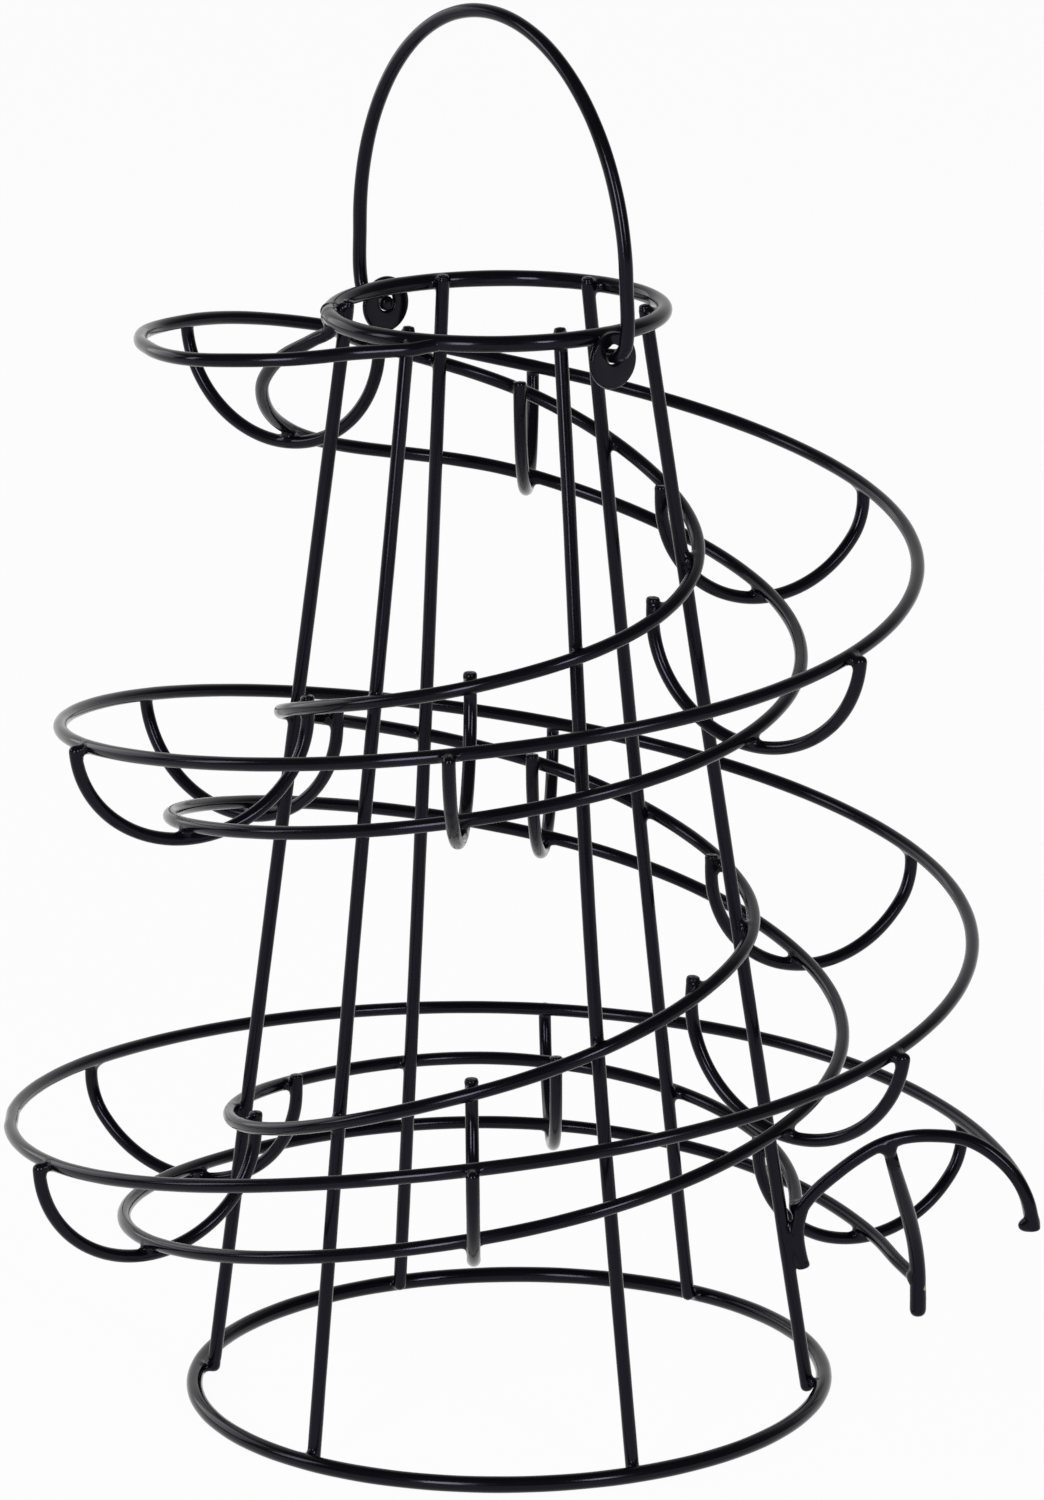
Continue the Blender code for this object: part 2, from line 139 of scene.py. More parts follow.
def power(name, text, default):
    return bpy.props.FloatProperty(
        name=name, description=text, default=default, min=0.0, unit="POWER"
    )


class WireSizes(bpy.types.PropertyGroup):
    """Sizes of the wires and of how they end."""

    ring: length("Ring wire", "Thickness of the base and top rings", 0.0041)
    upright: length("Upright wire", "Thickness of the uprights", 0.0034)
    rail: length("Rail wire", "Thickness of the three rails", 0.0034)
    rib: length("Rib wire", "Thickness of the ribs", 0.0033)
    arch: length("Arch wire", "Thickness of the end arch", 0.0034)
    bar: length("Bar wire", "Thickness of the end bar", 0.0040)
    handle: length("Handle wire", "Thickness of the handle", 0.0035)
    foot_gap: length("Foot gap", "Height of the uprights' feet above the table", 0.0003)
    left_foot: length("Left foot", "Height of the left upright's foot above the table", 0.0036)
    back_feet: length("Back feet", "Height of the two back uprights' feet above it", 0.0020)
    ring_seam: length("Ring seam", "Sideways step where the top ring's ends meet", 0.0009)
    into_ring: length("Into the ring", "How far the loop's end runs on into the top ring", 0.0070)
    tuck: length("Tuck", "How far a far rib's outer tip leans in under its rail", 0.0016)
    tip_short: length("Tip short", "How much lower a far rib's outer tip stops", 0.0030)
    sides: number("Sides", "Sides of a wire's round section", 20)
    step: length("Step", "Distance between sections on a slow curve", 0.0020)
    bend_step: length("Bend step", "Distance between sections on a tight bend", 0.0010)
    unevenness: share("Unevenness", "How much the coat's thickness wanders, of the wire's", 0.012)


class WeldSizes(bpy.types.PropertyGroup):
    """Welds, where the coat runs smoothly from one wire to the other."""

    seek: length("Seek", "Widest gap between two wires that counts as a weld", 0.0008)
    fillet: share("Fillet", "Size of the hollow fillet, of the thinner wire's thickness", 0.75)
    lug_fillet: share("Lug fillet", "Size of the fillet at a lug, of the ring's thickness", 0.30)
    reach: share("Reach", "How far a weld reaches, of the thinner wire's thickness", 1.5)
    longest: length("Longest", "Farthest that a weld reaches along wires side by side", 0.0110)
    proud: length("Proud", "Extra thickness of coat over the middle of a weld", 0.00006)


class LugSizes(bpy.types.PropertyGroup):
    """The round plates that the handle swings in."""

    diameter: length("Diameter", "Across a lug", 0.0140)
    hole: length("Hole", "Across the hole for the hook", 0.0050)
    hole_up: length("Hole up", "How far the hole lies above the lug's middle", 0.0016)
    back_up: length("Back lug up", "How much higher the back lug stands round its hole", 0.0008)
    thickness: length("Thickness", "Thickness of a lug", 0.0016)
    rounding: length("Rounding", "Radius of its coated edges", 0.0006)
    sides: number("Sides", "Sides of its round outline", 64)


class CoatLook(bpy.types.PropertyGroup):
    """The satin black powder coat."""

    base: colour("Colour", "Colour of the coat", (0.0018, 0.0018, 0.0028))
    tint: colour("Sheen tint", "Colour of the coat's reflections", (0.76, 0.74, 1.0))
    level: share("Sheen", "Strength of the reflections straight on", 0.18)
    smooth: share("Smoothest", "Roughness where the coat lies smoothest", 0.12)
    rough: share("Roughest", "Roughness where it lies roughest", 0.20)
    peel: length("Orange peel", "Distance between its dimples", 0.0011)
    peel_depth: length("Peel depth", "Depth of the dimples", 0.000022)
    # Colour of the painted reflection, a warm beige spot of painted light in the coat
    painted_reflection: colour("Chip colour", "Colour where the coat is knocked off", (0.42, 0.36, 0.24))


class StageLook(bpy.types.PropertyGroup):
    """Floor, lamps and camera."""

    floor: colour("Floor", "Colour of the floor", (0.95, 0.95, 0.95))
    floor_reach: length("Floor reach", "Radius of the floor", 9.0)
    floor_shadow: share("Shadow", "Share of the floor's own shading that shows", 0.04)
    room: share("Room light", "Strength of the light from all round", 0.20)
    key_lamp: power("Key lamp", "Power of the soft lamp at the left of the camera", 14.5)
    fill_lamp: power("Fill lamp", "Power of the soft lamp at its right", 8.0)
    strip_lamp: power("Strip lamp", "Power of the narrow lamp at the basket's left", 3.8)
    window: power("Window", "Power of the wide light behind it at the left", 4.6)
    lens: bpy.props.FloatProperty(
        name="Lens",
        description="Focal length of the camera",
        default=181.40,
        subtype="DISTANCE_CAMERA",
    )


class BasketSettings(bpy.types.PropertyGroup):
    """Everything that can be set on the basket."""

    wires: bpy.props.PointerProperty(type=WireSizes, name="Wires", description="Wire sizes")
    welds: bpy.props.PointerProperty(type=WeldSizes, name="Welds", description="Weld sizes")
    lugs: bpy.props.PointerProperty(type=LugSizes, name="Lugs", description="Lug sizes")
    coat: bpy.props.PointerProperty(type=CoatLook, name="Coat", description="Powder coat")
    stage: bpy.props.PointerProperty(type=StageLook, name="Stage", description="Stage")


def settings():
    return bpy.context.scene.egg_basket


# Lines of the wires


# Corners closer than this are one corner, faces flatter than this are one face, and a face of
# at least so many corners, as evenly far from its middle as this, is a wire's round end.
SAME_PLACE = 1e-6
FLAT_ANGLE = 0.002
END_CORNERS = 5
END_EVENNESS = 1.02


def wire_sections(node):
    """Rings of corners that a wire's solid is made of, in order from one of its ends."""
    solid = bmesh.new()
    solid.from_mesh(frame["nodes"][node].data)
    bmesh.ops.remove_doubles(solid, verts=solid.verts, dist=SAME_PLACE)
    shapes = solid.copy()
    bmesh.ops.dissolve_limit(
        shapes, angle_limit=FLAT_ANGLE, verts=shapes.verts, edges=shapes.edges
    )
    caps = []
    for face in shapes.faces:
        corners = np.array([corner.co for corner in face.verts])
        across = np.linalg.norm(corners - corners.mean(axis=0), axis=1)
        if len(corners) >= END_CORNERS and across.max() < END_EVENNESS * across.min():
            caps.append(corners)
    shapes.free()
    if len(caps) != 2:
        raise RuntimeError(f"{node} has {len(caps)} round ends, not two")
    solid.verts.ensure_lookup_table()
    places = np.array([corner.co for corner in solid.verts])
    near = [int(np.argmin(np.linalg.norm(places - corner, axis=1))) for corner in caps[0]]
    ring = {solid.verts[index] for index in near}
    seen = set(ring)
    rings = []
    while ring:
        rings.append(np.array([corner.co for corner in ring]))
        beyond = {edge.other_vert(corner) for corner in ring for edge in corner.link_edges}
        ring = beyond - seen
        seen |= ring
    solid.free()
    if any(len(points) != len(rings[0]) for points in rings):
        raise RuntimeError(f"{node} isn't made of even rings")
    return rings


def wire_line(node, first):
    """Centre line of a wire, from the end where a function is larger."""
    line = np.array([points.mean(axis=0) for points in wire_sections(node)])
    return line if first(line[0]) >= first(line[-1]) else line[::-1]


def ring_radius(node):
    low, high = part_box(node)
    return (high[0] - low[0]) / 2 - settings().wires.ring / 2


def height(point):
    return point[2]


def from_axis(point):
    return math.hypot(point[0] - TOWER_MIDDLE[0], point[1] - TOWER_MIDDLE[1])


def lengths_along(line):
    steps = np.linalg.norm(np.diff(line, axis=0), axis=1)
    return np.concatenate(((0.0,), np.cumsum(steps)))


# Room that a wire's line keeps from the sides of the solids' box, in its radii.
BOX_ROOM = 1.02


def kept_in(line, thickness):
    """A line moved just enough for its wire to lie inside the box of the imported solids."""
    low, high = (np.array(corner) for corner in CAD_BOX)
    room = thickness / 2 * BOX_ROOM
    return np.clip(line, low + room, high - room)


RING_POINTS = 180


def ring_line(node):
    """Centre line of a closed ring, from its box."""
    turns = np.linspace(0.0, 2 * math.pi, RING_POINTS + 1)[:-1]
    around = [(math.cos(turn), math.sin(turn), 0.0) for turn in turns]
    line = box_middle(node) + ring_radius(node) * np.array(around)
    return kept_in(line, settings().wires.ring)


# How far an end is run on into another wire, as a share of the way to that wire's middle.
RING_BITE_SHARE = 0.75
BUTT_BITE_SHARE = 0.7

# Places looked at along a wire of the gate.
GATE_MARKS = 200


def into_ring(line, distance):
    """A wire's line, run on from its first point round the tower and into the top ring."""
    middle = box_middle("top_ring")
    radius = ring_radius("top_ring")
    way = unit(line[0] - line[1])
    added = []
    for part in (1.0, 0.5):
        place = line[0] + way * distance * part
        inside = middle + unit((place - middle) * LEVEL) * radius
        added.append(place + (inside - place) * part * RING_BITE_SHARE)
    return np.vstack((added, line))


def gate_places(node):
    """Close places along a wire of the gate at the track's foot."""
    line = wire_line(node, height)
    return smooth_line(line, np.linspace(0.0, lengths_along(line)[-1], GATE_MARKS))


def run_on(line, node):
    """A wire's line, run on from its last point into another wire that it butts against."""
    places = gate_places(node)
    nearest = places[np.linalg.norm(places - line[-1], axis=1).argmin()]
    return np.vstack((line, nearest * BUTT_BITE_SHARE + line[-1] * (1 - BUTT_BITE_SHARE)))


def run_straight_on(line, node):
    """A wire's line, whose last stretch runs straight on into another wire."""
    places = gate_places(node)
    way = unit(line[-2] - line[-3])
    along = (places - line[-2]) @ way
    ahead = line[-2] + way * along[:, None]
    nearest = np.linalg.norm(places - ahead, axis=1).argmin()
    return np.vstack((line[:-1], (ahead[nearest] + places[nearest]) / 2))


def close_points(line, step):
    """Points a step apart on a smooth curve through a line's points."""
    total = lengths_along(line)[-1]
    return smooth_line(line, np.linspace(0.0, total, round(total / step) + 1))


def kept_outer_rail(wires):
    return kept_in(close_points(wire_line("outer_rail", height), wires.step), wires.rail)


def outer_rail_line(wires):
    return run_on(into_ring(kept_outer_rail(wires), wires.into_ring), "end_arch")


def floor_rail_line(wires):
    line = into_ring(wire_line("floor_rail", height), wires.rail / 2)
    return run_straight_on(line, "end_bar")


def smooth_line(line, at):
    """Places on a smooth curve through a line's points, at distances along it."""
    marks = lengths_along(line)
    if len(line) == 2:
        part = (at / marks[-1])[:, None]
        return line[0] * (1 - part) + line[1] * part
    spans = np.diff(marks)[:, None]
    slopes = np.diff(line, axis=0) / spans
    inner = (slopes[:-1] * spans[1:] + slopes[1:] * spans[:-1]) / (spans[:-1] + spans[1:])
    first = slopes[0] * 1.5 - inner[0] / 2
    last = slopes[-1] * 1.5 - inner[-1] / 2
    tangents = np.vstack((first, inner, last))
    piece = np.clip(np.searchsorted(marks, at) - 1, 0, len(spans) - 1)
    part = ((at - marks[piece]) / spans[piece, 0])[:, None]
    span = spans[piece]
    return (
        line[piece] * (1 + 2 * part) * (1 - part) ** 2
        + line[piece + 1] * part ** 2 * (3 - 2 * part)
        + tangents[piece] * span * part * (1 - part) ** 2
        + tangents[piece + 1] * span * part ** 2 * (part - 1)
    )


def tucked(line, wires):
    """A rib's line whose outer tip leans in towards the tower and stops lower."""
    marks = lengths_along(line)
    tip = smooth_line(line, np.array((wires.tip_short,)))
    line = np.vstack((tip, line[marks > wires.tip_short + wires.rib]))
    inward = unit((TOWER_MIDDLE - line[0]) * LEVEL)
    line[0] += inward * wires.tuck
    line[1] += inward * wires.tuck / 2
    return line


def rib_line(node, wires):
    line = wire_line(node, from_axis)
    return tucked(line, wires) if node in FAR_RIBS else line


# Shapes

# Ends of a wire, as shares: distance from the tip, and thickness there.
CUT_END_SHARES = ((0.0, 0.74), (0.02, 0.87), (0.07, 0.97), (0.15, 1.03), (0.30, 1.06), (0.55, 1.0))
TIP_SHARES = ((0.0, 0.55), (0.02, 0.68), (0.07, 0.80), (0.18, 0.88), (0.40, 0.93), (0.8, 1.0))
ROUND_END_SHARES = ((0.0, 0.30), (0.03, 0.50), (0.09, 0.70), (0.19, 0.87), (0.33, 0.97), (0.5, 1.0))
WELDED_END_SHARES = ((0.0, 0.99), (0.2, 1.0))
BUTT_END_SHARES = ((0.0, 0.70), (0.04, 0.85), (0.12, 0.97), (0.3, 1.03), (0.7, 1.0))
BAR_TOP_SHARES = ((0.0, 0.83), (1.5, 0.86), (4.0, 0.95), (5.5, 1.0))
BAR_FOOT_SHARES = (
    (0.0, 0.35),
    (0.03, 0.55),
    (0.09, 0.75),
    (0.19, 0.92),
    (0.33, 1.02),
    (0.5, 1.06),
    (1.2, 1.06),
    (3.0, 1.0),
)

# Slow waves in the coat's thickness, in radians per metre along a wire. Where each wave starts
# goes by the whole wire's length, so that no two wires are alike.
WANDER = ((173.0, 900.0), (411.0, 500.0))

# A line whose first way points up more than this is steep.
STEEP = 0.9


def add_object(name, mesh, material, body, replaced=()):
    for face in mesh.faces:
        face.smooth = True
    data = bpy.data.meshes.new(name)
    mesh.to_mesh(data)
    mesh.free()
    data.materials.append(material)
    item = bpy.data.objects.new(name, data)
    bpy.context.scene.collection.objects.link(item)
    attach(item, body)
    if replaced:
        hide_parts(*replaced)


def carried_frames(tangents, closed):
    """Directions across a line that don't twist from one place on it to the next."""
    seed = UP if abs(tangents[0][2]) < STEEP else SIDEWAYS
    side = np.cross(tangents[0], seed)
    sides = []
    for tangent in tangents:
        side = unit(side - tangent * np.dot(side, tangent))
        sides.append(side)
    sides = np.array(sides)
    if closed:
        miss = math.atan2(
            np.dot(np.cross(sides[-1], sides[0]), tangents[0]), np.dot(sides[-1], sides[0])
        )
        turns = np.linspace(0.0, miss, len(sides))[:, None]
        sides = sides * np.cos(turns) + np.cross(tangents, sides) * np.sin(turns)
    return sides, np.cross(tangents, sides)


def join_rings(mesh, pairs):
    """Faces between the rings of corners in each pair."""
    for low, high in pairs:
        for corner in range(len(low)):
            after = (corner + 1) % len(low)
            mesh.faces.new((low[corner], low[after], high[after], high[corner]))


def draw_wire(mesh, line, thickness, step, ends=None):
    """Adds a round wire along a line to a mesh. Without ends it closes on itself."""
    sizes = settings().wires
    closed = ends is None
    if closed:
        line = np.vstack((line, line[:1]))
    total = lengths_along(line)[-1]
    at = np.linspace(0.0, total, max(3, round(total / step)) + 1)
    if closed:
        at = at[:-1]
        scale = np.ones(len(at))
    else:
        start = np.array(ends[0]) * thickness
        finish = np.array(ends[1]) * thickness
        between = at[(at > start[-1, 0]) & (at < total - finish[-1, 0])]
        at = np.concatenate((start[:, 0], between, total - finish[::-1, 0]))
        thick = np.concatenate((start[:, 1], np.full(len(between), thickness), finish[::-1, 1]))
        scale = thick / thickness
    places = smooth_line(line, at)
    if closed:
        tangents = np.roll(places, -1, axis=0) - np.roll(places, 1, axis=0)
    else:
        tangents = np.gradient(places, at, axis=0)
    tangents = tangents / np.linalg.norm(tangents, axis=1)[:, None]
    across, over = carried_frames(tangents, closed)
    wander = sum(np.sin(at * turning + total * offset) for turning, offset in WANDER)
    radii = thickness / 2 * scale * (1 + sizes.unevenness * wander / len(WANDER))
    turns = np.arange(sizes.sides) * 2 * math.pi / sizes.sides
    rings = []
    for place, side, top, radius in zip(places, across, over, radii):
        around = [place + radius * (side * math.cos(t) + top * math.sin(t)) for t in turns]
        rings.append([mesh.verts.new(point) for point in around])
    pairs = list(zip(rings[:-1], rings[1:]))
    if closed:
        pairs.append((rings[-1], rings[0]))
    join_rings(mesh, pairs)
    if not closed:
        mesh.faces.new(list(reversed(rings[0])))
        mesh.faces.new(rings[-1])


def new_wire(node, line, thickness, step, material, ends=None, body=BODY_TOWER):
    mesh = bmesh.new()
    draw_wire(mesh, line, thickness, step, ends)
    bmesh.ops.recalc_face_normals(mesh, faces=mesh.faces)
    add_object(node + "_wire", mesh, material, body, (node,))


# Materials

# The coat's fine dimples, and the slower flow in which it lies rougher and smoother.
PEEL_NOISE = {"Detail": 1.0, "Roughness": 0.45}
FLOW_NOISE = {"Detail": 3.0, "Roughness": 0.6}
FLOW_SHARE = 0.07
PATCH_STOPS = ((0.32, 0.0), (0.70, 1.0))

# How much lighter the coat's colour gets, and how much patches and dimples bring that out.
LIGHTER = 1.7
PATCH_MIX = 0.6
PEEL_MIX = 0.3

# How strongly the dimples show, and the flow's depth beside theirs.
DIMPLE_STRENGTH = 0.14
FLOW_DEPTH = 2.0

# The ragged edge of the painted reflection, a warm beige spot of painted light, from fully painted
# to plain coat.
REFLECTION_STOPS = ((0.80, 1.0), (0.95, 0.0))
REFLECTION_RAGGED = 0.9

# Place and size of a painted reflection, a beige spot of painted light on the coat.
PaintedReflection = namedtuple("PaintedReflection", "place size")


class Shade:
    """An output of a material's nodes, which sums and products can be written with."""

    def __init__(self, tree, socket=None):
        self.tree = tree
        self.socket = socket

    def add(self, kind, own=None, inputs=None, output=0):
        """A new node of any type: its own values first, then its sockets."""
        node = self.tree.nodes.new(kind)
        for name, value in (own or {}).items():
            if name == "stops":
                self.set_stops(node.color_ramp, value)
            else:
                setattr(node, name, value)
        for name, value in (inputs or {}).items():
            if isinstance(value, Shade):
                self.tree.links.new(value.socket, node.inputs[name])
            else:
                node.inputs[name].default_value = value
        return Shade(self.tree, node.outputs[output] if node.outputs else None)

    @staticmethod
    def set_stops(ramp, stops):
        while len(ramp.elements) < len(stops):
            ramp.elements.new(1.0)
        for element, (position, value) in zip(ramp.elements, stops):
            element.position = position
            element.color = (value, value, value, 1.0)

    def math(self, operation, first, second=0.0):
        return self.add("ShaderNodeMath", {"operation": operation}, {0: first, 1: second})

    def __add__(self, other):
        return self.math("ADD", self, other)

    def __radd__(self, other):
        return self.math("ADD", other, self)

    def __sub__(self, other):
        return self.math("SUBTRACT", self, other)

    def __rsub__(self, other):
        return self.math("SUBTRACT", other, self)

    def __mul__(self, other):
        return self.math("MULTIPLY", self, other)

    def __rmul__(self, other):
        return self.math("MULTIPLY", other, self)


def rgba(values):
    return (*values, 1.0)


def powder_coat(name, painted_reflection=None):
    """Satin black powder coat. A painted reflection, if given, is a warm beige spot of painted
    light mixed into its colour.
    """
    look = settings().coat
    material = bpy.data.materials.new(name)
    material.use_nodes = True
    material.diffuse_color = rgba(look.base)
    tree = material.node_tree
    tree.nodes.clear()
    maker = Shade(tree)
    place = maker.add("ShaderNodeTexCoord", output="Object")
    peel = maker.add(
        "ShaderNodeTexNoise",
        {"noise_dimensions": "3D"},
        {"Vector": place, "Scale": 1 / look.peel, **PEEL_NOISE},
    )
    flow = maker.add(
        "ShaderNodeTexNoise",
        {"noise_dimensions": "3D"},
        {"Vector": place, "Scale": FLOW_SHARE / look.peel, **FLOW_NOISE},
    )
    patchy = maker.add("ShaderNodeValToRGB", {"stops": PATCH_STOPS}, {"Fac": flow})
    roughness = look.smooth + (look.rough - look.smooth) * patchy
    lighter = tuple(value * LIGHTER for value in look.base)
    mix = patchy * PATCH_MIX + peel * PEEL_MIX
    coat = maker.add(
        "ShaderNodeMix",
        {"data_type": "RGBA"},
        {"Factor": mix, "A": rgba(look.base), "B": rgba(lighter)},
        output=2,
    )
    # Painted reflection: a warm beige spot mixed into the coat's colour round one place.
    if painted_reflection is not None:
        apart = maker.add(
            "ShaderNodeVectorMath",
            {"operation": "DISTANCE"},
            {0: place, 1: tuple(painted_reflection.place)},
            output="Value",
        )
        ragged = apart * (1 / painted_reflection.size) + peel * REFLECTION_RAGGED
        reflection_share = maker.add("ShaderNodeValToRGB", {"stops": REFLECTION_STOPS}, {"Fac": ragged})
        coat = maker.add(
            "ShaderNodeMix",
            {"data_type": "RGBA"},
            {"Factor": reflection_share, "A": coat, "B": rgba(look.painted_reflection)},
            output=2,
        )
    dimples = maker.add(
        "ShaderNodeBump",
        {},
        {
            "Strength": DIMPLE_STRENGTH,
            "Distance": look.peel_depth,
            "Height": peel + flow * FLOW_DEPTH,
        },
    )
    shader = maker.add(
        "ShaderNodeBsdfPrincipled",
        {},
        {
            "Base Color": coat,
            "Roughness": roughness,
            "Specular IOR Level": look.level,
            "Specular Tint": rgba(look.tint),
            "Normal": dimples,
        },
    )
    maker.add("ShaderNodeOutputMaterial", {}, {"Surface": shader})
    return material


# Operators


class BASKET_OT_base_ring(bpy.types.Operator):
    """Wide ring that the basket stands on"""

    bl_idname = "basket.base_ring"
    bl_label = "Base ring"

    def execute(self, context):
        wires = context.scene.egg_basket.wires
        coat = powder_coat("base_ring_coat")
        line = ring_line("base_ring")
        new_wire("base_ring", line, wires.ring, wires.step, coat)
        return {"FINISHED"}


# Where the top ring's ends meet, as a share of the way round, and the shares of the seam's
# step that its last point, the one before it and its first point are moved by.
SEAM_SHARE = 0.493
SEAM_END_SHARE = 0.6
SEAM_BEFORE_SHARE = 0.3
SEAM_START_SHARE = 0.4


class BASKET_OT_top_ring(bpy.types.Operator):
    """Small ring at the top of the tower"""

    bl_idname = "basket.top_ring"
    bl_label = "Top ring"

    def execute(self, context):
        wires = context.scene.egg_basket.wires
        coat = powder_coat("top_ring_coat")
        line = ring_line("top_ring")
        seam = round(len(line) * SEAM_SHARE)
        line = np.roll(line, -seam, axis=0)
        step = unit((line[0] - box_middle("top_ring")) * LEVEL) * wires.ring_seam
        line = np.vstack((line, line[:1] + step * SEAM_END_SHARE))
        line[-2] += step * SEAM_BEFORE_SHARE
        line[0] -= step * SEAM_START_SHARE
        ends = (BUTT_END_SHARES, BUTT_END_SHARES)
        new_wire("top_ring", line, wires.ring, wires.step, coat, ends)
        return {"FINISHED"}


class BASKET_OT_uprights(bpy.types.Operator):
    """Six straight uprights between the rings"""

    bl_idname = "basket.uprights"
    bl_label = "Uprights"

    def execute(self, context):
        wires = context.scene.egg_basket.wires
        coat = powder_coat("upright_coat")
        ends = (TIP_SHARES, ROUND_END_SHARES)
        for node in UPRIGHTS:
            line = wire_line(node, height)
            foot = getattr(wires, FEET.get(node, "foot_gap"))
            way = line[-1] - line[-2]
            line[-1] += way * (foot - line[-1][2]) / way[2]
            new_wire(node, line, wires.upright, wires.step * 2, coat, ends)
        return {"FINISHED"}


class BASKET_OT_outer_rail(bpy.types.Operator):
    """Outer rail of the track, with the loading loop at its top end"""

    bl_idname = "basket.outer_rail"
    bl_label = "Outer rail"

    def execute(self, context):
        wires = context.scene.egg_basket.wires
        coat = powder_coat("outer_rail_coat")
        ends = (ROUND_END_SHARES, WELDED_END_SHARES)
        line = outer_rail_line(wires)
        new_wire("outer_rail", line, wires.rail, wires.step, coat, ends)
        return {"FINISHED"}


class BASKET_OT_inner_rail(bpy.types.Operator):
    """Inner rail of the track, round the uprights"""

    bl_idname = "basket.inner_rail"
    bl_label = "Inner rail"

    def execute(self, context):
        wires = context.scene.egg_basket.wires
        coat = powder_coat("inner_rail_coat")
        ends = (ROUND_END_SHARES, WELDED_END_SHARES)
        line = wire_line("inner_rail", height)
        new_wire("inner_rail", line, wires.rail, wires.step, coat, ends)
        return {"FINISHED"}


class BASKET_OT_floor_rail(bpy.types.Operator):
    """Rail that the eggs lie on, with the back stop at its top end"""

    bl_idname = "basket.floor_rail"
    bl_label = "Floor rail"

    def execute(self, context):
        wires = context.scene.egg_basket.wires
        coat = powder_coat("floor_rail_coat")
        ends = (ROUND_END_SHARES, WELDED_END_SHARES)
        line = floor_rail_line(wires)
        new_wire("floor_rail", line, wires.rail, wires.step, coat, ends)
        return {"FINISHED"}


class BASKET_OT_ribs(bpy.types.Operator):
    """U-shaped ribs under the track"""

    bl_idname = "basket.ribs"
    bl_label = "Ribs"

    def execute(self, context):
        wires = context.scene.egg_basket.wires
        coat = powder_coat("rib_coat")
        ends = (ROUND_END_SHARES, CUT_END_SHARES)
        for node in RIBS:
            line = rib_line(node, wires)
            new_wire(node, line, wires.rib, wires.bend_step, coat, ends)
        return {"FINISHED"}


class BASKET_OT_end_arch(bpy.types.Operator):
    """Arch over the foot of the track"""

    bl_idname = "basket.end_arch"
    bl_label = "End arch"

    def execute(self, context):
        wires = context.scene.egg_basket.wires
        coat = powder_coat("end_arch_coat")
        ends = (CUT_END_SHARES, CUT_END_SHARES)
        line = wire_line("end_arch", from_axis)
        new_wire("end_arch", line, wires.arch, wires.bend_step, coat, ends)
        return {"FINISHED"}


# The painted reflection, a warm beige spot of painted light on the end bar's coat, from the middle
# of the bar's foot.
REFLECTION_OFFSET = (0.0019, -0.0005, 0.0078)
REFLECTION_SIZE = 0.0020


class BASKET_OT_end_bar(bpy.types.Operator):
    """Bar that hangs from the arch and stops the eggs"""

    bl_idname = "basket.end_bar"
    bl_label = "End bar"

    def execute(self, context):
        wires = context.scene.egg_basket.wires
        line = wire_line("end_bar", height)
        # The end bar's coat carries the painted beige reflection.
        coat = powder_coat("end_bar_coat", PaintedReflection(line[-1] + REFLECTION_OFFSET, REFLECTION_SIZE))
        ends = (BAR_TOP_SHARES, BAR_FOOT_SHARES)
        new_wire("end_bar", line, wires.bar, wires.bend_step, coat, ends)
        return {"FINISHED"}


LUG_EDGE_STEPS = 4


def lug_middle(node, lugs):
    return box_middle(node) + UP * (lugs.back_up if node == "lug_back" else 0.0)


def hole_middle(node, lugs):
    return box_middle(node) + UP * lugs.hole_up


def draw_lug(mesh, lugs, middle, hole):
    """A round plate with rounded edges and a hole, square to the hinge."""
    along = np.cross(UP, HINGE_AXIS)
    half = lugs.thickness / 2
    bends = [math.pi / 2 * step / LUG_EDGE_STEPS for step in range(LUG_EDGE_STEPS + 1)]
    starts = [lugs.rounding * (1 - math.cos(bend)) for bend in bends]
    ends = [lugs.rounding * (1 - math.sin(bend)) for bend in bends]
    profile = [(False, start, half - end) for start, end in zip(starts, ends)]
    profile += [(True, -end, half - start) for start, end in zip(starts, ends)]
    profile += [(outer, inset, -level) for outer, inset, level in reversed(profile)]
    turns = np.arange(lugs.sides) * 2 * math.pi / lugs.sides
    rings = []
    for outer, inset, level in profile:
        radius = (lugs.diameter if outer else lugs.hole) / 2 + inset
        centre = (middle if outer else hole) + HINGE_AXIS * level
        around = [centre + radius * (along * math.cos(t) + UP * math.sin(t)) for t in turns]
        rings.append([mesh.verts.new(point) for point in around])
    join_rings(mesh, zip(rings, rings[1:] + rings[:1]))


class BASKET_OT_lugs(bpy.types.Operator):
    """Round lugs on the top ring that the handle swings in"""

    bl_idname = "basket.lugs"
    bl_label = "Lugs"

    def execute(self, context):
        lugs = context.scene.egg_basket.lugs
        coat = powder_coat("lug_coat")
        for node in LUGS:
            mesh = bmesh.new()
            draw_lug(mesh, lugs, lug_middle(node, lugs), hole_middle(node, lugs))
            bmesh.ops.recalc_face_normals(mesh, faces=mesh.faces)
            add_object(node + "_plate", mesh, coat, BODY_TOWER, (node,))
        return {"FINISHED"}


class BASKET_OT_handle(bpy.types.Operator):
    """Bail handle with a hook at each end"""

    bl_idname = "basket.handle"
    bl_label = "Handle"

    def execute(self, context):
        wires = context.scene.egg_basket.wires
        coat = powder_coat("handle_coat")
        ends = (CUT_END_SHARES, CUT_END_SHARES)
        line = wire_line("handle", lambda point: -np.dot(point, HINGE_AXIS))
        new_wire(
            "handle", line, wires.handle, wires.bend_step, coat, ends, BODY_HANDLE
        )
        return {"FINISHED"}


# Distance between the points along a wire; how many such steps may lie between two places of
# one run; how many a wire's way is taken over, to each side; and how many lie between the
# points that a weld's shape is worked out from.
WELD_STEP = 0.0005
RUN_GAP = 2
WAY_STEPS = 2
SHAPE_STEPS = 2

# A wire is butted where it meets the other more squarely than this.
BUTTED = 0.6

Strand = namedtuple("Strand", "node thickness points")


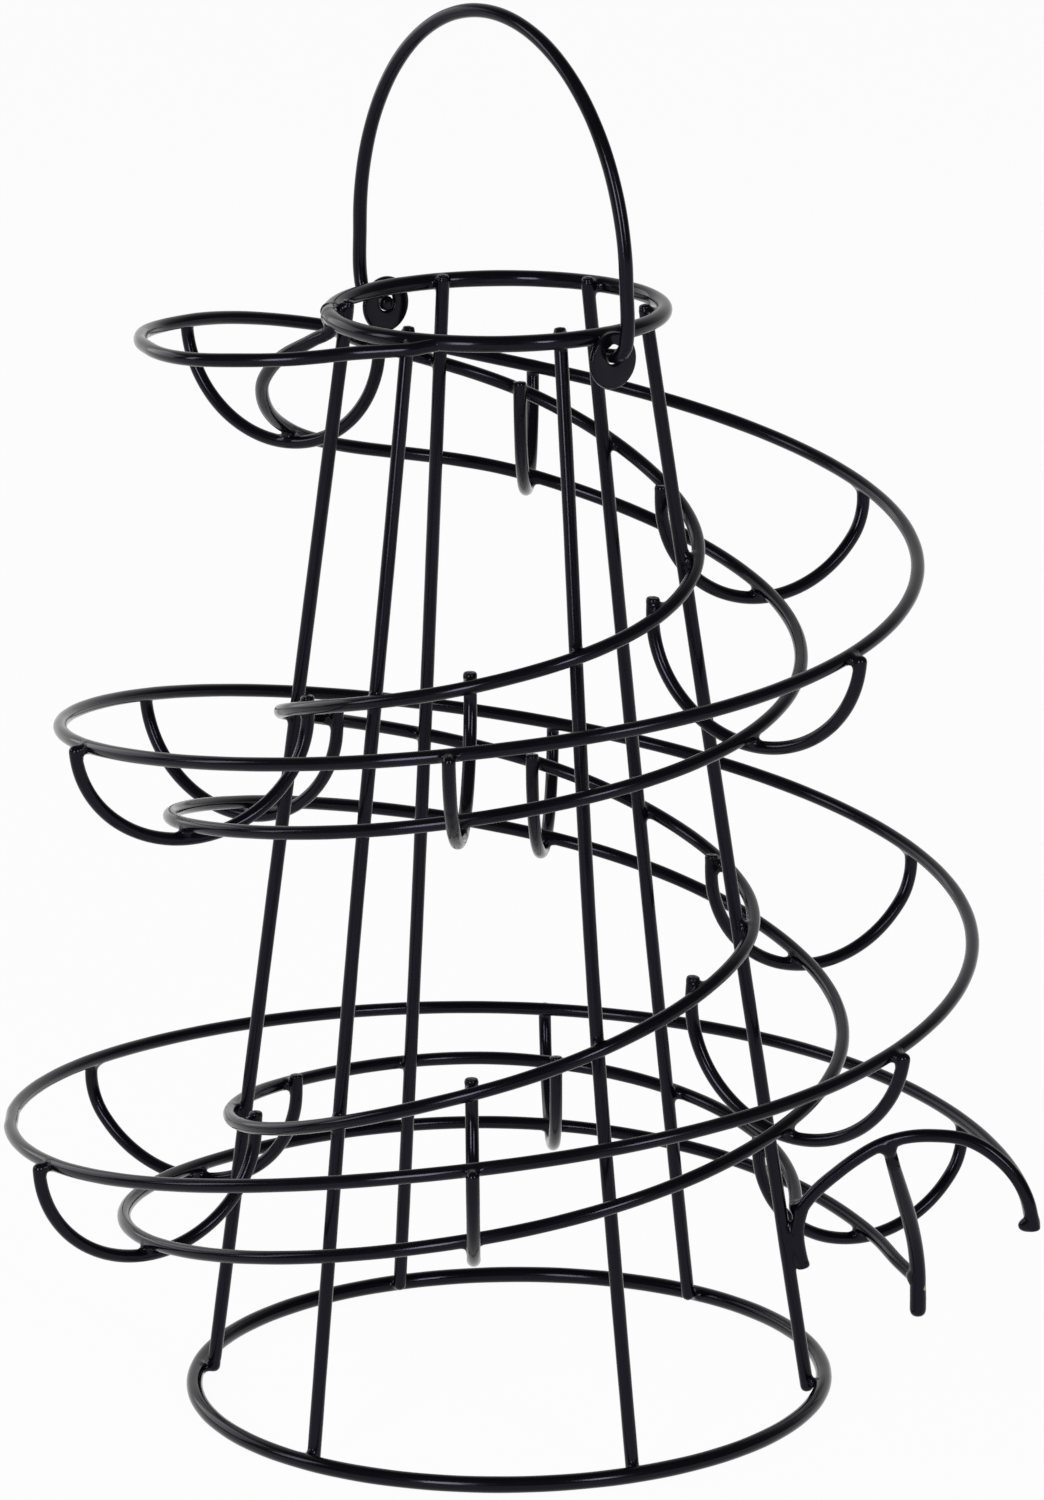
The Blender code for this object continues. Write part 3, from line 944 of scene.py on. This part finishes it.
def weld_line(node, wires):
    """A tower wire's line, as its welds follow it."""
    if node in RINGS:
        line = ring_line(node)
        return np.vstack((line, line[:1]))
    if node in RIBS:
        return rib_line(node, wires)
    if node == "outer_rail":
        return kept_outer_rail(wires)
    if node == "floor_rail":
        return floor_rail_line(wires)
    return wire_line(node, height)


def tower_strands(wires):
    """Every wire of the tower, with close points along it."""
    kinds = {
        "ring": wires.ring,
        "upright": wires.upright,
        "rib": wires.rib,
        "rail": wires.rail,
        "arch": wires.arch,
        "bar": wires.bar,
    }
    strands = []
    for node in RINGS + UPRIGHTS + RIBS + RAILS + ["end_arch", "end_bar"]:
        thickness = next(size for kind, size in kinds.items() if kind in node)
        points = close_points(weld_line(node, wires), WELD_STEP)
        if node == "end_bar":
            upper, points = np.array_split(points, 2)
            strands.append(Strand(node, thickness * BAR_TOP_SHARES[0][1], upper))
        strands.append(Strand(node, thickness, points))
    return strands


def weld_runs(first, second, seek):
    """Runs where two wires lie side by side: a place on each, and how far apart they are."""
    points, others = first.points, second.points
    limit = (first.thickness + second.thickness) / 2 + seek
    low, high = others.min(axis=0) - limit, others.max(axis=0) + limit
    near = np.where(((points > low) & (points < high)).all(axis=1))[0]
    found = []
    for index in near:
        apart = np.linalg.norm(others - points[index], axis=1)
        best = int(apart.argmin())
        if apart[best] < limit:
            found.append((index, best, apart[best]))
    runs = []
    for entry in found:
        if runs and entry[0] - runs[-1][-1][0] <= RUN_GAP:
            runs[-1].append(entry)
        else:
            runs.append([entry])
    return runs


def way_at(points, index):
    before, after = max(index - WAY_STEPS, 0), min(index + WAY_STEPS, len(points) - 1)
    return unit(points[after] - points[before])


def strand_shape(strand, index, reach, across):
    """Function for how far places lie outside a wire, near one of its own points."""
    node, thickness, points = strand
    span = round(reach / WELD_STEP)
    butted = abs(np.dot(way_at(points, index), across)) > BUTTED
    picked = np.arange(index - span, index + span + 1, SHAPE_STEPS)
    if node in RINGS:
        picked = picked % (len(points) - 1)
    else:
        tip = 0 if butted else round(thickness / 2 / WELD_STEP)
        picked = np.unique(np.clip(picked, tip, len(points) - 1 - tip))
        if len(picked) == 1:
            picked = np.array((picked[0] - 1, picked[0]))
    starts, ways = points[picked[:-1]], np.diff(points[picked], axis=0)
    squares = (ways ** 2).sum(axis=1)

    def outside(places):
        offsets = places[:, None, :] - starts
        share_along = np.clip((offsets * ways).sum(axis=2) / squares, 0.0, 1.0)
        apart = offsets - share_along[:, :, None] * ways
        return np.sqrt((apart ** 2).sum(axis=2)).min(axis=1) - thickness / 2

    return outside


def from_pin(places, middle):
    """Distances of places from a line along the hinge, and along it."""
    offsets = places - middle
    level = offsets @ HINGE_AXIS
    return np.linalg.norm(offsets - level[:, None] * HINGE_AXIS, axis=1), level


def plate_shape(middle, hole, lugs):
    """Function for how far places lie outside a lug's round plate with its hole."""
    soft = lugs.rounding

    def outside(places):
        radius, level = from_pin(places, middle)
        past_rim = radius - lugs.diameter / 2
        past_face = np.abs(level) - lugs.thickness / 2
        beyond = np.stack((past_rim, past_face), axis=1) + soft
        inner = np.minimum(beyond.max(axis=1), 0.0)
        plate = np.linalg.norm(np.maximum(beyond, 0.0), axis=1) + inner - soft
        return np.maximum(plate, lugs.hole / 2 - from_pin(places, hole)[0])

    return outside


# A weld starts as a ball of this fineness, whose corners move out in rounds, each by a share of
# what is left, until they lie on the skin. The ball is stretched where a weld reaches farther
# than so many fillets. The extra coat on it thins out, faster the farther from its middle.
BALL_FINENESS = 4
WELD_ROUNDS = 24
ROUND_SHARE = 0.8
ROUND_FILLETS = 2.2
THINNING = 3
LEAST_FILLET = 1e-7


def draw_weld(mesh, centre, shapes, along, reach, fillet, proud):
    """Skin over two shapes near a place, with a hollow fillet in the corner between them."""
    made = bmesh.ops.create_icosphere(mesh, subdivisions=BALL_FINENESS, radius=1.0)
    corners = made["verts"]
    ways = np.array([corner.co for corner in corners])
    stretch = max(reach / (ROUND_FILLETS * fillet) - 1, 0.0)
    ways = ways + np.outer(ways @ along, along) * stretch
    ways = ways / np.linalg.norm(ways, axis=1)[:, None]
    out = np.zeros(len(ways))
    for _ in range(WELD_ROUNDS):
        places = centre + ways * out[:, None]
        first, second = (shape(places) for shape in shapes)
        far = (out / reach) ** 2
        blend = np.maximum(fillet * (1 - far), LEAST_FILLET)
        close = np.maximum(blend - np.abs(first - second), 0.0) / blend
        coat = proud * (1 - THINNING * far)
        depth = coat - np.minimum(first, second) + blend * close ** 2 / 4
        out = np.minimum(out + np.maximum(depth, 0.0) * ROUND_SHARE, reach)
    for corner, way, distance in zip(corners, ways, out):
        corner.co = centre + way * distance


# How far a weld reaches to each side, as a share of half the run.
RUN_SHARE = 1.4

# The lump of weld at the arch's outer foot: how far in and up it lies, and its radius; and how
# far in and up the middle of its skin lies.
LUMP_IN_SHARE = 0.75
LUMP_UP_SHARE = 0.38
LUMP_RADIUS_SHARE = 0.42
SKIN_IN_SHARE = 0.3
SKIN_UP_SHARE = 0.45


class BASKET_OT_welds(bpy.types.Operator):
    """Welds wherever two wires of the tower touch, and where the lugs stand on their ring"""

    bl_idname = "basket.welds"
    bl_label = "Welds"

    def execute(self, context):
        basket = context.scene.egg_basket
        welds = basket.welds
        strands = tower_strands(basket.wires)
        mesh = bmesh.new()
        for order, first in enumerate(strands):
            for second in strands[order + 1:]:
                if first.node == second.node:
                    continue
                for run in weld_runs(first, second, welds.seek):
                    self.add_weld(mesh, welds, first, second, run)
        if not mesh.verts:
            raise RuntimeError("no two wires touch, so there is nothing to weld")
        arch = next(strand for strand in strands if strand.node == "end_arch")
        self.add_foot_lump(mesh, welds, arch)
        ring = next(strand for strand in strands if strand.node == "top_ring")
        for node in LUGS:
            self.add_lug_weld(mesh, basket, ring, node)
        for corner in mesh.verts:
            corner.co = np.clip(corner.co, *CAD_BOX)
        bmesh.ops.recalc_face_normals(mesh, faces=mesh.faces)
        add_object("welds", mesh, powder_coat("weld_coat"), BODY_TOWER)
        return {"FINISHED"}

    def add_weld(self, mesh, welds, first, second, run):
        """Welds two wires at the place in a run where they come nearest."""
        index, best, apart = min(run, key=lambda entry: entry[2])
        start, end = first.points[index], second.points[best]
        across = (end - start) / apart
        along = way_at(first.points, index)
        other = way_at(second.points, best)
        if np.dot(along, other) < 0:
            other = -other
        along = along + other
        along = unit(along - across * np.dot(along, across))
        thin = min(first.thickness, second.thickness)
        gap = apart - (first.thickness + second.thickness) / 2
        centre = start + across * (first.thickness / 2 + gap / 2)
        half_run = len(run) * WELD_STEP / 2
        reach = min(max(thin * welds.reach, half_run * RUN_SHARE), welds.longest)
        shapes = [
            strand_shape(strand, middle, reach + strand.thickness, across)
            for strand, middle in ((first, index), (second, best))
        ]
        draw_weld(mesh, centre, shapes, along, reach, thin * welds.fillet, welds.proud)

    def add_foot_lump(self, mesh, welds, arch):
        """Puts the lump of weld on the inner side of the arch's outer foot."""
        thick = arch.thickness
        ends = (0, len(arch.points) - 1)
        index = max(ends, key=lambda end: from_axis(arch.points[end]))
        foot = arch.points[index]
        inward = unit((TOWER_MIDDLE - foot) * LEVEL)
        ball = foot + inward * thick * LUMP_IN_SHARE + UP * thick * LUMP_UP_SHARE

        def lump(places):
            return np.linalg.norm(places - ball, axis=1) - thick * LUMP_RADIUS_SHARE

        centre = foot + inward * thick * SKIN_IN_SHARE + UP * thick * SKIN_UP_SHARE
        reach = thick * welds.reach
        shapes = [strand_shape(arch, index, reach + thick, inward), lump]
        draw_weld(mesh, centre, shapes, UP, reach, thick * welds.fillet, welds.proud)

    def add_lug_weld(self, mesh, basket, ring, node):
        """Welds a lug to the outer side of the top ring."""
        welds, lugs = basket.welds, basket.lugs
        thick = ring.thickness
        middle = lug_middle(node, lugs)
        outward = unit((middle - TOWER_MIDDLE) * LEVEL)
        index = int(np.argmax(ring.points @ outward))
        centre = ring.points[index] + outward * thick / 2
        reach = thick * welds.reach
        shapes = [
            strand_shape(ring, index, reach + thick, outward),
            plate_shape(middle, hole_middle(node, lugs), lugs),
        ]
        along = np.cross(outward, UP)
        draw_weld(mesh, centre, shapes, along, reach, thick * welds.lug_fillet, welds.proud)


# Place and aim of the camera, and its roll in degrees.
CAMERA_PLACE = (-0.045178, -1.823786, 0.643714)
CAMERA_AIM = (0.001904, -0.004359, 0.166494)
CAMERA_ROLL = -0.618
SENSOR_WIDTH = 36.0
NEAREST_SEEN = 0.05
FARTHEST_SEEN = 100.0

# Each lamp's name, which is its power's too, with its place, width and height.
LAMPS = (
    ("key_lamp", (-0.69, -1.49, 0.61), 0.40, 0.72),
    ("fill_lamp", (0.80, -1.38, 0.75), 0.27, 0.55),
    ("strip_lamp", (-1.38, -0.12, 0.75), 0.30, 0.62),
    ("window", (-1.15, 0.81, 0.60), 1.05, 0.80),
)
LAMP_AIM = Vector((0.0, 0.0, 0.17))

FLOOR_SIDES = 96

# What a sheen mirrors turns from the dim room to the white backdrop between these two, which
# run from 0 at the side to 1 straight behind the basket.
BACKDROP_EDGE = 0.3
BACKDROP_FULL = 0.85


def add_camera(stage):
    """Camera at the photograph's angle."""
    data = bpy.data.cameras.new("camera")
    data.lens = stage.lens
    data.sensor_width = SENSOR_WIDTH
    data.clip_start = NEAREST_SEEN
    data.clip_end = FARTHEST_SEEN
    camera = bpy.data.objects.new("camera", data)
    bpy.context.scene.collection.objects.link(camera)
    forward = (Vector(CAMERA_AIM) - Vector(CAMERA_PLACE)).normalized()
    right = forward.cross(Vector(UP)).normalized()
    up = right.cross(forward)
    roll = math.radians(CAMERA_ROLL)
    level = right
    right = level * math.cos(roll) + up * math.sin(roll)
    up = up * math.cos(roll) - level * math.sin(roll)
    turned = Matrix((right, up, -forward)).transposed().to_4x4()
    camera.matrix_world = Matrix.Translation(CAMERA_PLACE) @ turned
    bpy.context.scene.camera = camera


def add_lamp(name, place, width, tall, watts):
    data = bpy.data.lights.new(name, "AREA")
    data.shape = "RECTANGLE"
    data.size = width
    data.size_y = tall
    data.energy = watts
    lamp = bpy.data.objects.new(name, data)
    lamp.location = place
    lamp.rotation_euler = (LAMP_AIM - Vector(place)).to_track_quat("-Z", "Y").to_euler()
    bpy.context.scene.collection.objects.link(lamp)


def ray_kinds(maker):
    """1 for what the camera sees itself, and 1 for what it sees in a sheen or through glass."""
    camera = maker.add("ShaderNodeLightPath", output="Is Camera Ray")
    glossy = maker.add("ShaderNodeLightPath", output="Is Glossy Ray")
    through = maker.add("ShaderNodeLightPath", output="Is Transmission Ray")
    return camera, maker.math("MAXIMUM", glossy, through)


def add_floor(stage):
    mesh = bmesh.new()
    bmesh.ops.create_circle(
        mesh, cap_ends=True, segments=FLOOR_SIDES, radius=stage.floor_reach
    )
    data = bpy.data.meshes.new("floor")
    mesh.to_mesh(data)
    mesh.free()
    floor = bpy.data.objects.new("floor", data)
    bpy.context.scene.collection.objects.link(floor)
    material = bpy.data.materials.new("floor_white")
    material.use_nodes = True
    tree = material.node_tree
    tree.nodes.clear()
    maker = Shade(tree)
    matt = maker.add("ShaderNodeBsdfDiffuse", {}, {"Color": rgba(stage.floor)})
    white = maker.add("ShaderNodeEmission", {}, {"Strength": 1.0})
    share_white = maker.math("MAXIMUM", *ray_kinds(maker)) * (1 - stage.floor_shadow)
    both = maker.add("ShaderNodeMixShader", {}, {0: share_white, 1: matt, 2: white})
    maker.add("ShaderNodeOutputMaterial", {}, {"Surface": both})
    data.materials.append(material)


def add_world(stage):
    world = bpy.data.worlds.new("white_room")
    bpy.context.scene.world = world
    world.use_nodes = True
    tree = world.node_tree
    tree.nodes.clear()
    maker = Shade(tree)
    way = maker.add("ShaderNodeTexCoord", output="Generated")
    back = maker.add("ShaderNodeSeparateXYZ", {}, {"Vector": way}, output="Y")
    backdrop = maker.add(
        "ShaderNodeMapRange",
        {"interpolation_type": "SMOOTHSTEP"},
        {"Value": back, "From Min": BACKDROP_EDGE, "From Max": BACKDROP_FULL},
    )
    camera, mirrored = ray_kinds(maker)
    shown = maker.math("MAXIMUM", camera, mirrored * backdrop)
    strength = stage.room + (1 - stage.room) * shown
    room = maker.add("ShaderNodeBackground", {}, {"Strength": strength})
    maker.add("ShaderNodeOutputWorld", {}, {"Surface": room})


class BASKET_OT_stage(bpy.types.Operator):
    """White floor, soft lamps and the camera"""

    bl_idname = "basket.stage"
    bl_label = "Stage"

    def execute(self, context):
        stage = context.scene.egg_basket.stage
        bpy.context.scene.view_settings.view_transform = "Standard"
        add_floor(stage)
        add_world(stage)
        for name, place, width, tall in LAMPS:
            add_lamp(name, place, width, tall, getattr(stage, name))
        add_camera(stage)
        return {"FINISHED"}


PIECES = (
    BASKET_OT_base_ring,
    BASKET_OT_top_ring,
    BASKET_OT_uprights,
    BASKET_OT_outer_rail,
    BASKET_OT_inner_rail,
    BASKET_OT_floor_rail,
    BASKET_OT_ribs,
    BASKET_OT_end_arch,
    BASKET_OT_end_bar,
    BASKET_OT_lugs,
    BASKET_OT_handle,
    BASKET_OT_welds,
    BASKET_OT_stage,
)


class BASKET_PT_pieces(bpy.types.Panel):
    """Buttons for the pieces and their settings"""

    bl_idname = "BASKET_PT_pieces"
    bl_label = "Spiral egg basket"
    bl_space_type = "VIEW_3D"
    bl_region_type = "UI"
    bl_category = "Egg basket"

    def draw(self, context):
        layout = self.layout
        for piece in PIECES:
            layout.operator(piece.bl_idname)
        for group in ("wires", "welds", "lugs", "coat", "stage"):
            values = getattr(context.scene.egg_basket, group)
            box = layout.box()
            box.label(text=group.capitalize())
            for name in values.bl_rna.properties.keys():
                if name not in ("rna_type", "name"):
                    box.prop(values, name)


GROUPS = (WireSizes, WeldSizes, LugSizes, CoatLook, StageLook, BasketSettings)


def register():
    for item in GROUPS + PIECES + (BASKET_PT_pieces,):
        bpy.utils.register_class(item)
    bpy.types.Scene.egg_basket = bpy.props.PointerProperty(
        type=BasketSettings, name="Egg basket", description="Settings of the egg basket"
    )


def unregister():
    del bpy.types.Scene.egg_basket
    for item in reversed(GROUPS + PIECES + (BASKET_PT_pieces,)):
        bpy.utils.unregister_class(item)


def main():
    register()
    for piece in PIECES:
        group, name = piece.bl_idname.split(".")
        getattr(getattr(bpy.ops, group), name)()


if __name__ == "__main__":
    main()
